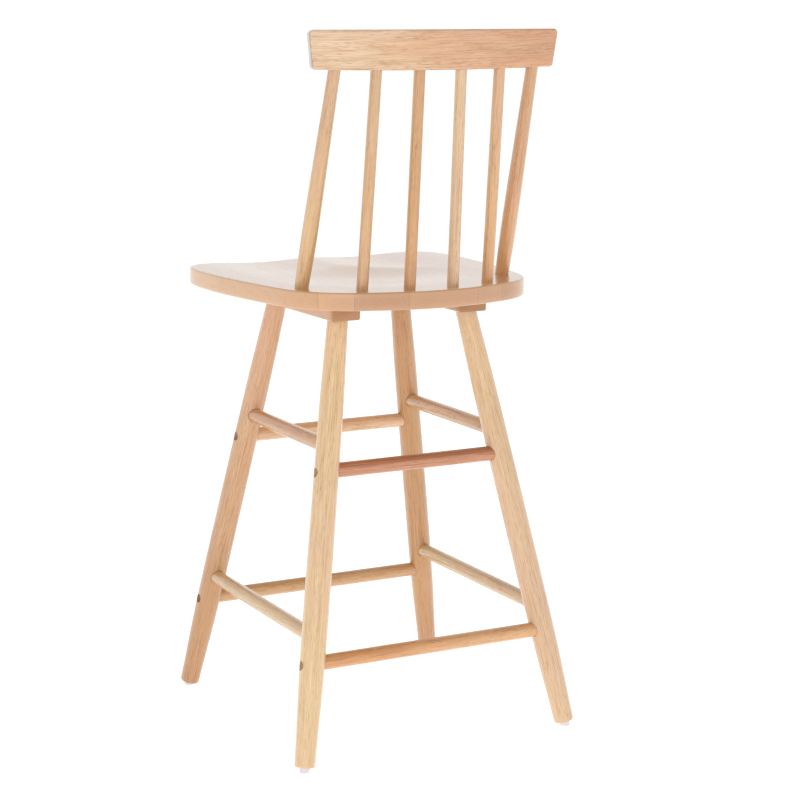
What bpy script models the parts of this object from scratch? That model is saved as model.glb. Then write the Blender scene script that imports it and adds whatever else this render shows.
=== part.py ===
"""Counter stool with footrest rungs, a dished seat and a spindle back.

Metres, +Z up. The front faces -Y and the sitter's left is +X. The origin is on the
floor at the centre of the bounding box. Everything is symmetric about X = 0.
"""

from math import atan2, cos, pi, radians, sin, tan

import bmesh
import bpy
from mathutils import Matrix, Vector

# Fits
GAP = 0.0003  # clearance between touching pieces

# Legs: the axis of a leg runs from its floor point to its point at LEG_TOP_Z
LEG_CENTRE_Y = -0.002
LEG_FLOOR = (0.2074, 0.2120)
LEG_TOP = (0.1002, 0.1021)
LEG_TOP_Z = 0.6000
LEG_FOOT_Z = 0.0062  # height of the centre of the foot
LEG_END_Z = 0.6120  # height of the centre of the top end, inside the batten
LEG_SEGMENTS = 20
# (height as a share of the leg's length, radius)
LEG_PROFILE = (
    (0.003, 0.0144),
    (0.045, 0.0149),
    (0.100, 0.0159),
    (0.180, 0.0172),
    (0.280, 0.0178),
    (0.420, 0.0179),
    (0.560, 0.0177),
    (0.700, 0.0173),
    (0.800, 0.0169),
    (0.880, 0.0160),
    (0.940, 0.0152),
    (0.980, 0.0147),
)
FOOT_CHAMFER = 0.0010

# Stretchers
STRETCHER_R = 0.0105
STRETCHER_STOP = 0.0060  # from the leg's axis to the bottom of the stretcher's socket
UPPER_CROSS_Z = 0.3960  # front and rear stretchers
UPPER_SIDE_Z = 0.4288
LOWER_CROSS_Z = 0.1415
LOWER_SIDE_Z = 0.1763
STRETCHER_SEGMENTS = 16

# Bolts through the legs into the front and rear stretchers
BOLT_R = 0.0030
BOLT_HOLE_R = 0.0034
BOLT_LENGTH = 0.045
HEAD_R = 0.0058
HEAD_HEIGHT = 0.0042
HEX_R = 0.0023
HEX_DEPTH = 0.0022
COUNTERBORE_R = 0.0065
COUNTERBORE_STOP = 0.0090  # from the leg's axis to the counterbore's floor
INSERT_R = 0.0050
INSERT_LENGTH = 0.0120
INSERT_BORE_DEPTH = 0.0130
BOLT_BORE_DEPTH = 0.0340

# Battens
BATTEN_X = 0.0990
BATTEN_WIDTH = 0.0430
BATTEN_LENGTH = 0.2532
BATTEN_BOTTOM = 0.5992
BATTEN_TOP = 0.6217
BATTEN_ROUND = 0.0025

# Seat
SEAT_BOTTOM = 0.6220
SEAT_TOP = 0.6465
SEAT_ROUND = 0.0025
SEAT_STEPS = 5  # outline points on each curve
SEAT_RINGS = (0.90, 0.76, 0.60, 0.42, 0.22)
BOWL_DEPTH = 0.0080
BOWL_CENTRE = (0.0, 0.010)
BOWL_REACH = (0.165, 0.150)
THIGH_DEPTH = 0.0040
THIGH_X = 0.078
THIGH_WIDTH = 0.063
# Left half of the outline, front centre to rear centre: cubic curves, four points each
SEAT_OUTLINE = (
    ((0.0, -0.2215), (0.0700, -0.2215), (0.1342, -0.2253), (0.1726, -0.2141)),
    ((0.1726, -0.2141), (0.2097, -0.2033), (0.2112, -0.1643), (0.2112, -0.1088)),
    ((0.2112, -0.1088), (0.2112, -0.0500), (0.2016, 0.0151), (0.1900, 0.0841)),
    ((0.1900, 0.0841), (0.1843, 0.1181), (0.1722, 0.1710), (0.1046, 0.1944)),
    ((0.1046, 0.1944), (0.0708, 0.2060), (0.0374, 0.2157), (0.0, 0.2157)),
)
SEAT_BOLT_Y = 0.060
SEAT_BOLT_LENGTH = 0.028
SEAT_HEAD_RECESS = 0.0060

# Crest rail: a leaning board bent to an arc
RAIL_BOTTOM = 0.9385
RAIL_HEIGHT = 0.0530
RAIL_BELLY = 0.0020  # how far the middle of the lower edge hangs below its ends
RAIL_THICKNESS = 0.0220
RAIL_BOW_R = 0.700
RAIL_MID_Y = 0.2097  # centre of the thickness, at the bottom of the middle
RAIL_LEAN = radians(6.0)
RAIL_HALF_BOTTOM = 0.1777
RAIL_HALF_TOP = 0.1828
RAIL_ROUND = 0.0030
RAIL_STATIONS = 14

# Back members: (x, y) on the seat and (x, y) under the rail
POST_FOOT = (0.1565, 0.1045)
POST_HEAD = (0.1484, 0.1950)
SPINDLE_FEET = ((0.0332, 0.1850), (0.0965, 0.1685))
SPINDLE_HEADS = ((0.0311, 0.2096), (0.0924, 0.2047))
SEAT_SOCKET_DEPTH = 0.0140
RAIL_SOCKET_DEPTH = 0.0150
TENON_R = 0.0055
POST_SEGMENTS = 16
# (share of the visible length, radius)
POST_PROFILE = ((0.0, 0.0096), (0.14, 0.0106), (0.32, 0.0108), (0.60, 0.0099), (0.85, 0.0088), (1.1, 0.0081))
SPINDLE_PROFILE = ((0.0, 0.0081), (0.50, 0.0080), (1.1, 0.0078))

# Glides
GLIDE_R = 0.0068
GLIDE_RECESS_R = 0.0044
GLIDE_RECESS_DEPTH = 0.0016
NAIL_HEAD_R = 0.0040
NAIL_HEAD_HEIGHT = 0.0010
NAIL_R = 0.0012
NAIL_LENGTH = 0.0150

# name: (red, green, blue, metallic, roughness)
MATERIALS = {
    "wood_pale": (0.80, 0.60, 0.38, 0.0, 0.42),
    "wood_tan": (0.72, 0.48, 0.28, 0.0, 0.42),
    "wood_red": (0.58, 0.30, 0.18, 0.0, 0.42),
    "steel": (0.52, 0.52, 0.54, 1.0, 0.35),
    "brass": (0.78, 0.60, 0.28, 1.0, 0.38),
    "glide_plastic": (0.86, 0.85, 0.90, 0.0, 0.50),
}

SIDES = {"left": 1, "right": -1}
ENDS = {"front": -1, "rear": 1}


# ---------------------------------------------------------------- scene helpers


def clear_scene():
    for obj in list(bpy.data.objects):
        bpy.data.objects.remove(obj, do_unlink=True)


def new_collection(name):
    group = bpy.data.collections.new(name)
    bpy.context.scene.collection.children.link(group)
    return group


def new_material(name):
    red, green, blue, metallic, roughness = MATERIALS[name]
    made = bpy.data.materials.new(name)
    made.use_nodes = True
    shader = made.node_tree.nodes["Principled BSDF"]
    shader.inputs["Base Color"].default_value = (red, green, blue, 1.0)
    shader.inputs["Metallic"].default_value = metallic
    shader.inputs["Roughness"].default_value = roughness
    made.diffuse_color = (red, green, blue, 1.0)
    return made


def place(name, mesh, material, matrix=None):
    """A visible sub-part with its own copy of the material."""
    obj = bpy.data.objects.new(name, mesh)
    part_group.objects.link(obj)
    own = new_material(material)
    own.name = name + "_" + material
    mesh.materials.clear()
    mesh.materials.append(own)
    if matrix is not None:
        obj.matrix_world = matrix
    return obj


def helper(name, mesh, matrix=None):
    """A hidden solid that other pieces are cut with or joined to."""
    obj = bpy.data.objects.new(name, mesh)
    cutter_group.objects.link(obj)
    obj.hide_render = True
    obj.display_type = "WIRE"
    if matrix is not None:
        obj.matrix_world = matrix
    return obj


def boolean(obj, other, operation="DIFFERENCE"):
    step = obj.modifiers.new(other.name, "BOOLEAN")
    step.operation = operation
    step.solver = "EXACT"
    step.object = other


def along(start, direction):
    """A matrix with its origin at start and its Z along direction."""
    turn = Vector(direction).to_track_quat("Z", "Y").to_matrix().to_4x4()
    return Matrix.Translation(Vector(start)) @ turn


def shade_smooth(mesh, limit=40.0):
    mesh.polygons.foreach_set("use_smooth", [True] * len(mesh.polygons))
    mesh.set_sharp_from_angle(angle=radians(limit))


# ---------------------------------------------------------------- basic solids


def cylinder(name, radius, low, high, segments):
    """A cylinder on Z between two heights."""
    mesh = bpy.data.meshes.new(name)
    shape = bmesh.new()
    centre = Matrix.Translation((0, 0, (low + high) / 2))
    bmesh.ops.create_cone(
        shape,
        cap_ends=True,
        segments=segments,
        radius1=radius,
        radius2=radius,
        depth=high - low,
        matrix=centre,
    )
    shape.to_mesh(mesh)
    shape.free()
    shade_smooth(mesh)
    return mesh


def block(name, low, high):
    """A box between two corners."""
    mesh = bpy.data.meshes.new(name)
    shape = bmesh.new()
    size = [b - a for a, b in zip(low, high)]
    middle = [(a + b) / 2 for a, b in zip(low, high)]
    matrix = Matrix.Translation(middle) @ Matrix.Diagonal((*size, 1.0))
    bmesh.ops.create_cube(shape, size=1.0, matrix=matrix)
    shape.to_mesh(mesh)
    shape.free()
    return mesh


def turned(name, profile, segments):
    """A solid turned on Z from (radius, height) points, listed top to bottom.

    The first and last points are on the axis. The Screw result is stored as a mesh, so
    that it can be cut and joined.
    """
    line = bpy.data.meshes.new(name + "_profile")
    points = [(radius, 0.0, height) for radius, height in profile]
    edges = [(i, i + 1) for i in range(len(points) - 1)]
    line.from_pydata(points, edges, [])
    lathe = bpy.data.objects.new(name + "_lathe", line)
    cutter_group.objects.link(lathe)
    screw = lathe.modifiers.new("turn", "SCREW")
    screw.steps = segments
    screw.render_steps = segments
    screw.use_merge_vertices = True
    screw.merge_threshold = 0.00005
    screw.use_smooth_shade = True
    graph = bpy.context.evaluated_depsgraph_get()
    mesh = bpy.data.meshes.new_from_object(lathe.evaluated_get(graph))
    bpy.data.objects.remove(lathe, do_unlink=True)
    mesh.name = name
    shape = bmesh.new()
    shape.from_mesh(mesh)
    bmesh.ops.remove_doubles(shape, verts=shape.verts, dist=0.00001)
    bmesh.ops.recalc_face_normals(shape, faces=shape.faces)
    shape.to_mesh(mesh)
    shape.free()
    shade_smooth(mesh)
    return mesh


def lofted(name, rings):
    """A closed solid through rings of points that all have the same count."""
    mesh = bpy.data.meshes.new(name)
    shape = bmesh.new()
    loops = [[shape.verts.new(point) for point in ring] for ring in rings]
    count = len(rings[0])
    for lower, upper in zip(loops, loops[1:]):
        for i in range(count):
            j = (i + 1) % count
            shape.faces.new((lower[i], lower[j], upper[j], upper[i]))
    shape.faces.new(reversed(loops[0]))
    shape.faces.new(loops[-1])
    bmesh.ops.recalc_face_normals(shape, faces=shape.faces)
    shape.to_mesh(mesh)
    shape.free()
    shade_smooth(mesh, 30.0)
    return mesh


# ---------------------------------------------------------------- leg geometry


def leg_axis(side, end, height):
    """The point of a leg's axis at this height."""
    share = height / LEG_TOP_Z
    x = LEG_FLOOR[0] + (LEG_TOP[0] - LEG_FLOOR[0]) * share
    y = LEG_FLOOR[1] + (LEG_TOP[1] - LEG_FLOOR[1]) * share
    return Vector((side * x, LEG_CENTRE_Y + end * y, height))


def leg_frame(side, end):
    """The matrix of a leg: origin at the foot's centre, Z up the axis."""
    foot = leg_axis(side, end, LEG_FOOT_Z)
    return along(foot, leg_axis(side, end, LEG_END_Z) - foot)


def leg_length():
    return (leg_axis(1, 1, LEG_END_Z) - leg_axis(1, 1, LEG_FOOT_Z)).length


def leg_profile():
    length = leg_length()
    top_r = LEG_PROFILE[-1][1]
    points = [(0.0, length), (top_r, length)]
    points += [(radius, share * length) for share, radius in reversed(LEG_PROFILE)]
    foot_r = LEG_PROFILE[0][1] - FOOT_CHAMFER
    points += [(foot_r, 0.0), (0.0, 0.0)]
    return points


def bolted_joint_profile():
    """What is removed from a leg at a bolted stretcher. Z points out of the stool."""
    socket_r = STRETCHER_R + GAP
    return (
        (0.0, 0.040),
        (COUNTERBORE_R, 0.040),
        (COUNTERBORE_R, COUNTERBORE_STOP),
        (BOLT_HOLE_R, COUNTERBORE_STOP),
        (BOLT_HOLE_R, -STRETCHER_STOP),
        (socket_r, -STRETCHER_STOP),
        (socket_r, -0.040),
        (0.0, -0.040),
    )


def bolt_mesh(name, length):
    """A button-head bolt on Z: the underside of the head is at 0, the head above it."""
    profile = (
        (0.0, HEAD_HEIGHT),
        (HEAD_R * 0.72, HEAD_HEIGHT),
        (HEAD_R, HEAD_HEIGHT * 0.55),
        (HEAD_R, 0.0),
        (BOLT_R, 0.0),
        (BOLT_R, -length + 0.001),
        (BOLT_R - 0.0008, -length),
        (0.0, -length),
    )
    return turned(name, profile, 10)


def insert_mesh(name):
    """A threaded insert on Z, below 0."""
    mesh = bpy.data.meshes.new(name)
    shape = bmesh.new()
    rings = []
    for radius, height in (
        (BOLT_R + GAP, 0.0),
        (INSERT_R, 0.0),
        (INSERT_R, -INSERT_LENGTH),
        (BOLT_R + GAP, -INSERT_LENGTH),
    ):
        turns = [2 * pi * i / 12 for i in range(12)]
        rings.append([shape.verts.new((radius * cos(a), radius * sin(a), height)) for a in turns])
    for first, second in zip(rings, rings[1:] + rings[:1]):
        for i in range(12):
            j = (i + 1) % 12
            shape.faces.new((first[i], first[j], second[j], second[i]))
    bmesh.ops.recalc_face_normals(shape, faces=shape.faces)
    shape.to_mesh(mesh)
    shape.free()
    shade_smooth(mesh)
    return mesh


def place_bolt(name, length, matrix):
    bolt = place(name, bolt_mesh(name, length), "steel", matrix)
    hexagon = cylinder(name + "_hex", HEX_R, HEAD_HEIGHT - HEX_DEPTH, HEAD_HEIGHT + 0.002, 6)
    boolean(bolt, helper(name + "_hex", hexagon, matrix))


# ---------------------------------------------------------------- pieces


def build_legs():
    length = leg_length()
    for side_name, side in SIDES.items():
        for end_name, end in ENDS.items():
            label = end_name + "_" + side_name
            frame = leg_frame(side, end)
            mesh = turned("leg_" + label, leg_profile(), LEG_SEGMENTS)
            material = "wood_tan" if end < 0 else "wood_pale"
            leg = place("leg_" + label, mesh, material, frame)
            for level, height in (("upper", UPPER_CROSS_Z), ("lower", LOWER_CROSS_Z)):
                name = "cut_bolted_" + level + "_" + label
                cut = turned(name, bolted_joint_profile(), 16)
                matrix = along(leg_axis(side, end, height), (side, 0, 0))
                boolean(leg, helper(name, cut, matrix))
            for level, height in (("upper", UPPER_SIDE_Z), ("lower", LOWER_SIDE_Z)):
                name = "cut_glued_" + level + "_" + label
                cut = cylinder(name, STRETCHER_R + GAP, -0.040, -STRETCHER_STOP, 16)
                matrix = along(leg_axis(side, end, height), (0, end, 0))
                boolean(leg, helper(name, cut, matrix))
            hole = cylinder("cut_nail_" + label, NAIL_R + GAP, -0.005, NAIL_LENGTH + 0.002, 8)
            boolean(leg, helper("cut_nail_" + label, hole, frame))


def build_cross_stretchers():
    """Front and rear stretchers: bolted, with a threaded insert in each end."""
    for level, height in (("upper", UPPER_CROSS_Z), ("lower", LOWER_CROSS_Z)):
        for end_name, end in ENDS.items():
            label = level + "_" + end_name
            axis = leg_axis(1, end, height)
            half = axis.x - STRETCHER_STOP - GAP
            middle = along((0, axis.y, axis.z), (1, 0, 0))
            mesh = cylinder("stretcher_" + label, STRETCHER_R, -half, half, STRETCHER_SEGMENTS)
            material = "wood_red" if (level, end) == ("upper", 1) else "wood_tan"
            stretcher = place("stretcher_" + label, mesh, material, middle)
            for side_name, side in SIDES.items():
                name = label + "_" + side_name
                tip = (side * half, axis.y, axis.z)
                matrix = along(tip, (side, 0, 0))
                bore = turned(
                    "cut_bore_" + name,
                    (
                        (0.0, 0.010),
                        (INSERT_R + GAP, 0.010),
                        (INSERT_R + GAP, -INSERT_BORE_DEPTH),
                        (BOLT_HOLE_R, -INSERT_BORE_DEPTH),
                        (BOLT_HOLE_R, -BOLT_BORE_DEPTH),
                        (0.0, -BOLT_BORE_DEPTH),
                    ),
                    12,
                )
                boolean(stretcher, helper("cut_bore_" + name, bore, matrix))
                sunk = along((side * (half - 0.0005), axis.y, axis.z), (side, 0, 0))
                place("insert_" + name, insert_mesh("insert_" + name), "brass", sunk)
                head = (side * (axis.x + COUNTERBORE_STOP + GAP), axis.y, axis.z)
                place_bolt("bolt_" + name, BOLT_LENGTH, along(head, (side, 0, 0)))


def build_side_stretchers():
    """Left and right stretchers: glued into round sockets."""
    for level, height in (("upper", UPPER_SIDE_Z), ("lower", LOWER_SIDE_Z)):
        for side_name, side in SIDES.items():
            name = "stretcher_" + level + "_" + side_name
            reach = leg_axis(side, 1, height).y - LEG_CENTRE_Y
            half = reach - STRETCHER_STOP - GAP
            mesh = cylinder(name, STRETCHER_R, -half, half, STRETCHER_SEGMENTS)
            x = leg_axis(side, 1, height).x
            place(name, mesh, "wood_pale", along((x, LEG_CENTRE_Y, height), (0, 1, 0)))


def build_battens():
    length = leg_length()
    for side_name, side in SIDES.items():
        name = "batten_" + side_name
        low = (side * BATTEN_X - BATTEN_WIDTH / 2, LEG_CENTRE_Y - BATTEN_LENGTH / 2, BATTEN_BOTTOM)
        high = (side * BATTEN_X + BATTEN_WIDTH / 2, LEG_CENTRE_Y + BATTEN_LENGTH / 2, BATTEN_TOP)
        mesh = block(name, low, high)
        shape = bmesh.new()
        shape.from_mesh(mesh)
        lowest = [e for e in shape.edges if all(v.co.z < BATTEN_BOTTOM + 0.001 for v in e.verts)]
        bmesh.ops.bevel(shape, geom=lowest, offset=BATTEN_ROUND, segments=2, affect="EDGES")
        shape.to_mesh(mesh)
        shape.free()
        batten = place(name, mesh, "wood_tan")
        for end_name, end in ENDS.items():
            label = end_name + "_" + side_name
            socket = cylinder(
                "cut_leg_" + label,
                LEG_PROFILE[-1][1] + GAP,
                length - 0.060,
                length + GAP,
                LEG_SEGMENTS,
            )
            boolean(batten, helper("cut_leg_" + label, socket, leg_frame(side, end)))
            spot = (side * BATTEN_X, LEG_CENTRE_Y + end * SEAT_BOLT_Y, BATTEN_BOTTOM)
            way = turned(
                "cut_seat_bolt_" + label,
                (
                    (0.0, 0.030),
                    (BOLT_HOLE_R, 0.030),
                    (BOLT_HOLE_R, SEAT_HEAD_RECESS),
                    (COUNTERBORE_R, SEAT_HEAD_RECESS),
                    (COUNTERBORE_R, -0.010),
                    (0.0, -0.010),
                ),
                12,
            )
            boolean(batten, helper("cut_seat_bolt_" + label, way, Matrix.Translation(spot)))
            under = (spot[0], spot[1], BATTEN_BOTTOM + SEAT_HEAD_RECESS - GAP)
            place_bolt("seat_bolt_" + label, SEAT_BOLT_LENGTH, along(under, (0, 0, -1)))
            mouth = (spot[0], spot[1], SEAT_BOTTOM + GAP)
            insert = insert_mesh("seat_insert_" + label)
            place("seat_insert_" + label, insert, "brass", along(mouth, (0, 0, -1)))


def seat_outline():
    """The whole outline, anticlockwise from the front centre."""
    half = []
    for a, b, c, d in SEAT_OUTLINE:
        a, b, c, d = Vector(a), Vector(b), Vector(c), Vector(d)
        for i in range(SEAT_STEPS):
            t = i / SEAT_STEPS
            s = 1 - t
            half.append(s**3 * a + 3 * s * s * t * b + 3 * s * t * t * c + t**3 * d)
    half.append(Vector(SEAT_OUTLINE[-1][3]))
    other = [Vector((-p.x, p.y)) for p in reversed(half[1:-1])]
    return half + other


def ease(value):
    value = min(1.0, max(0.0, value))
    return value * value * (3 - 2 * value)


def seat_dish(x, y):
    """How far the top lies below the rim."""
    reach = ((x - BOWL_CENTRE[0]) / BOWL_REACH[0]) ** 2 + ((y - BOWL_CENTRE[1]) / BOWL_REACH[1]) ** 2
    bowl = BOWL_DEPTH * ease(1.0 - reach**0.5)
    across = ease(1.0 - abs(abs(x) - THIGH_X) / (1.6 * THIGH_WIDTH))
    forward = ease((0.060 - y) / 0.190)
    return max(bowl, THIGH_DEPTH * across * forward)


def build_seat():
    outline = seat_outline()
    centre = Vector((0.0, -0.005))
    inset = [p + (centre - p).normalized() * SEAT_ROUND for p in outline]

    def flat(points, height):
        return [(p.x, p.y, height) for p in points]

    def dished(points, drop=0.0):
        return [(p.x, p.y, SEAT_TOP - drop - seat_dish(p.x, p.y)) for p in points]

    rings = [
        flat(inset, SEAT_BOTTOM),
        flat(outline, SEAT_BOTTOM + SEAT_ROUND),
        dished(outline, SEAT_ROUND),
        dished(inset),
    ]
    for share in SEAT_RINGS:
        rings.append(dished([centre + (p - centre) * share for p in outline]))
    seat = place("seat", lofted("seat", rings), "wood_pale")
    for side_name, side in SIDES.items():
        for end_name, end in ENDS.items():
            name = "cut_seat_insert_" + end_name + "_" + side_name
            hole = cylinder(name, INSERT_R + GAP, -0.010, INSERT_LENGTH + 0.0010, 12)
            spot = (side * BATTEN_X, LEG_CENTRE_Y + end * SEAT_BOLT_Y, SEAT_BOTTOM)
            boolean(seat, helper(name, hole, Matrix.Translation(spot)))
    return seat


def rail_point(turn, across, up):
    """A point of the rail: angle round the bow, offset through it, height in it."""
    radius = RAIL_BOW_R + across + up * tan(RAIL_LEAN)
    y = RAIL_MID_Y - RAIL_BOW_R + radius * cos(turn)
    return (radius * sin(turn), y, RAIL_BOTTOM + up)


def rail_ring(share, inset):
    """A cross-section of the rail, at this share of its half length."""
    half = RAIL_THICKNESS / 2 - inset
    low = inset
    high = RAIL_HEIGHT - inset
    r = RAIL_ROUND
    corners = (
        (half, low + r),
        (half, high - r),
        (half - 0.3 * r, high - 0.3 * r),
        (half - r, high),
        (-half + r, high),
        (-half + 0.3 * r, high - 0.3 * r),
        (-half, high - r),
        (-half, low + r),
        (-half + 0.3 * r, low + 0.3 * r),
        (-half + r, low),
        (half - r, low),
        (half - 0.3 * r, low + 0.3 * r),
    )
    ring = []
    for across, up in corners:
        reach = RAIL_HALF_BOTTOM + (RAIL_HALF_TOP - RAIL_HALF_BOTTOM) * up / RAIL_HEIGHT
        turn = share * atan2(reach, (RAIL_BOW_R**2 - reach**2) ** 0.5)
        lift = RAIL_BELLY * share * share * (1 - up / RAIL_HEIGHT)
        ring.append(rail_point(turn, across, up + lift))
    return ring


def build_crest_rail():
    shares = [-1 + 2 * i / RAIL_STATIONS for i in range(RAIL_STATIONS + 1)]
    step = RAIL_ROUND / RAIL_HALF_TOP
    rings = [rail_ring(-1.0, RAIL_ROUND * 0.8), rail_ring(-1.0 + step * 0.35, RAIL_ROUND * 0.2)]
    rings += [rail_ring(-1.0 + step, 0.0)]
    rings += [rail_ring(share, 0.0) for share in shares[1:-1]]
    rings += [rail_ring(1.0 - step, 0.0)]
    rings += [rail_ring(1.0 - step * 0.35, RAIL_ROUND * 0.2), rail_ring(1.0, RAIL_ROUND * 0.8)]
    return place("crest_rail", lofted("crest_rail", rings), "wood_pale")


def build_back_member(name, foot, head, profile, seat, rail, above_rail):
    """A post or spindle: full size in its seat socket, a thinner tenon in the rail."""
    start = Vector((*foot, SEAT_TOP))
    finish = Vector((*head, RAIL_BOTTOM))
    span = (finish - start).length
    frame = along(start, finish - start)
    points = [(0.0, profile[-1][0] * span)]
    points += [(radius, share * span) for share, radius in reversed(profile)]
    points += [(profile[0][1], -SEAT_SOCKET_DEPTH), (0.0, -SEAT_SOCKET_DEPTH)]
    mesh = turned(name, points, POST_SEGMENTS)
    member = place(name, mesh, "wood_tan", frame)
    boolean(member, above_rail)
    tenon = cylinder(name + "_tenon", TENON_R, span - 0.030, span + RAIL_SOCKET_DEPTH, 12)
    boolean(member, helper(name + "_tenon", tenon, frame), "UNION")
    socket_r = profile[0][1] + GAP
    deep = -SEAT_SOCKET_DEPTH - GAP
    hole = cylinder("cut_seat_" + name, socket_r, deep, 0.030, POST_SEGMENTS)
    boolean(seat, helper("cut_seat_" + name, hole, frame))
    top = span + RAIL_SOCKET_DEPTH + GAP
    hole = cylinder("cut_rail_" + name, TENON_R + GAP, span - 0.012, top, 12)
    boolean(rail, helper("cut_rail_" + name, hole, frame))


def build_back(seat):
    rail = build_crest_rail()
    low = (-0.4, -0.4, RAIL_BOTTOM - GAP)
    above_rail = helper("cut_above_rail", block("cut_above_rail", low, (0.4, 0.6, 1.2)))
    for side_name, side in SIDES.items():
        foot = (side * POST_FOOT[0], POST_FOOT[1])
        head = (side * POST_HEAD[0], POST_HEAD[1])
        build_back_member("post_" + side_name, foot, head, POST_PROFILE, seat, rail, above_rail)
    spots = ((1, 1), (0, 1), (0, -1), (1, -1))  # from the sitter's left to the right
    for number, (pair, side) in enumerate(spots, 1):
        foot = (side * SPINDLE_FEET[pair][0], SPINDLE_FEET[pair][1])
        head = (side * SPINDLE_HEADS[pair][0], SPINDLE_HEADS[pair][1])
        name = "spindle_" + str(number)
        build_back_member(name, foot, head, SPINDLE_PROFILE, seat, rail, above_rail)


def build_glides():
    floor = helper("cut_floor", block("cut_floor", (-0.4, -0.4, -0.1), (0.4, 0.4, 0.0)))
    for side_name, side in SIDES.items():
        for end_name, end in ENDS.items():
            label = end_name + "_" + side_name
            frame = leg_frame(side, end)
            pad = turned(
                "glide_" + label,
                (
                    (0.0, -GAP - GLIDE_RECESS_DEPTH),
                    (GLIDE_RECESS_R, -GAP - GLIDE_RECESS_DEPTH),
                    (GLIDE_RECESS_R, -GAP),
                    (GLIDE_R - 0.0005, -GAP),
                    (GLIDE_R, -GAP - 0.0005),
                    (GLIDE_R, -0.0140),
                    (0.0, -0.0140),
                ),
                16,
            )
            glide = place("glide_" + label, pad, "glide_plastic", frame)
            boolean(glide, floor)
            low = -GLIDE_RECESS_DEPTH
            nail = turned(
                "glide_nail_" + label,
                (
                    (0.0, NAIL_LENGTH),
                    (NAIL_R, NAIL_LENGTH - 0.0025),
                    (NAIL_R, low + NAIL_HEAD_HEIGHT),
                    (NAIL_HEAD_R, low + NAIL_HEAD_HEIGHT),
                    (NAIL_HEAD_R, low),
                    (0.0, low),
                ),
                10,
            )
            place("glide_nail_" + label, nail, "steel", frame)


clear_scene()
part_group = new_collection("bar_stool")
cutter_group = new_collection("cutters")
cutter_group.hide_render = True
build_legs()
build_cross_stretchers()
build_side_stretchers()
build_battens()
build_back(build_seat())
build_glides()
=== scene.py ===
"""Looks for a counter stool with footrest rungs, a dished seat and a spindle back.

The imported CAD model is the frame. Every wooden piece is rebuilt round it with finer
shapes and procedural lacquered wood. Metres, +Z up, the front faces -Y and the sitter's
left is +X. Every wooden mesh carries its own grain coordinates in the attribute "grain":
X and Y are measured across the grain from the heart of the tree, and Z runs along it.
"""

from math import asin, cos, pi, radians, sin, sqrt, tan

import bmesh
import bpy
from mathutils import Matrix, Vector


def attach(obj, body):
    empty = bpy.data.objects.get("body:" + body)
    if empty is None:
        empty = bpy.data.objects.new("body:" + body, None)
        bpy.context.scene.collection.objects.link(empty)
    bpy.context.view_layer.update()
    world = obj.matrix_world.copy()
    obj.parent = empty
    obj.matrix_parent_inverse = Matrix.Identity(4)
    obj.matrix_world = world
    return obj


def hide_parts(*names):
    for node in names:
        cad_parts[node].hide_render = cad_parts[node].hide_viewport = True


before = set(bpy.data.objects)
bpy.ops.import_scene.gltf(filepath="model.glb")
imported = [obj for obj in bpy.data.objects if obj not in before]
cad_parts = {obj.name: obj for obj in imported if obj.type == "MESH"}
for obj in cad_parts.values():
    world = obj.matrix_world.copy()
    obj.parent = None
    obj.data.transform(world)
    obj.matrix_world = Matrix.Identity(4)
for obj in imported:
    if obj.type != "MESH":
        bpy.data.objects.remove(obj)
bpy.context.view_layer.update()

# ---------------------------------------------------------------- sizes, as in the CAD

GAP = 0.0003

LEG_CENTRE_Y = -0.002
LEG_FLOOR = (0.2074, 0.2120)
LEG_TOP = (0.1002, 0.1021)
LEG_TOP_Z = 0.6000
LEG_FOOT_Z = 0.0062
LEG_END_Z = 0.6120
LEG_STEPS = 110
SANDED = 0.0002  # taken off the legs, which keeps their round outline inside the CAD one
LEG_PROFILE = (
    (0.003, 0.0144),
    (0.045, 0.0149),
    (0.100, 0.0159),
    (0.180, 0.0172),
    (0.280, 0.0178),
    (0.420, 0.0179),
    (0.560, 0.0177),
    (0.700, 0.0173),
    (0.800, 0.0169),
    (0.880, 0.0160),
    (0.940, 0.0152),
    (0.980, 0.0147),
)
FOOT_CHAMFER = 0.0010
END_LIP = 0.0030  # width of the ring of faces round the flat end of a turned piece
CUTTER_REACH = 0.040  # how far a cutter runs from the axis of its leg

STRETCHER_R = 0.0105
STRETCHER_STOP = 0.0060
STRETCHER_EASE = 0.0008  # at the shoulders
UPPER_CROSS_Z = 0.3960
UPPER_SIDE_Z = 0.4288
LOWER_CROSS_Z = 0.1415
LOWER_SIDE_Z = 0.1763

BOLT_R = 0.0030
BOLT_HOLE_R = 0.0034
BOLT_LENGTH = 0.045
THREAD_PITCH = 0.0010
THREAD_DEPTH = 0.0005
HEAD_R = 0.0058
HEAD_HEIGHT = 0.0042
HEX_R = 0.0023
HEX_DEPTH = 0.0022
COUNTERBORE_R = 0.0065
COUNTERBORE_STOP = 0.0090

BATTEN_X = 0.0990
BATTEN_WIDTH = 0.0430
BATTEN_LENGTH = 0.2532
BATTEN_BOTTOM = 0.5992
BATTEN_TOP = 0.6217
BATTEN_ROUND = 0.0025
BATTEN_CHAMFER = 0.0008  # of the upper edges
BATTEN_ENDS = ((0.0, 0.0012), (0.0004, 0.0005), (0.0012, 0.0))  # away from the end, drawn in
BATTEN_STEPS = 24
SEAT_BOLT_Y = 0.060
SEAT_BOLT_LENGTH = 0.028
SEAT_HEAD_RECESS = 0.0060

SEAT_BOTTOM = 0.6220
SEAT_TOP = 0.6465
SEAT_ROUND = 0.0025
BOWL_DEPTH = 0.0080
BOWL_CENTRE = (0.0, 0.010)
BOWL_REACH = (0.165, 0.150)
THIGH_DEPTH = 0.0040
THIGH_X = 0.078
THIGH_WIDTH = 0.063
HOLLOW_BLEND = 0.0006  # softens the line where the bowl and the thigh hollows meet
SEAT_CENTRE = (0.0, -0.005)
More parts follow.
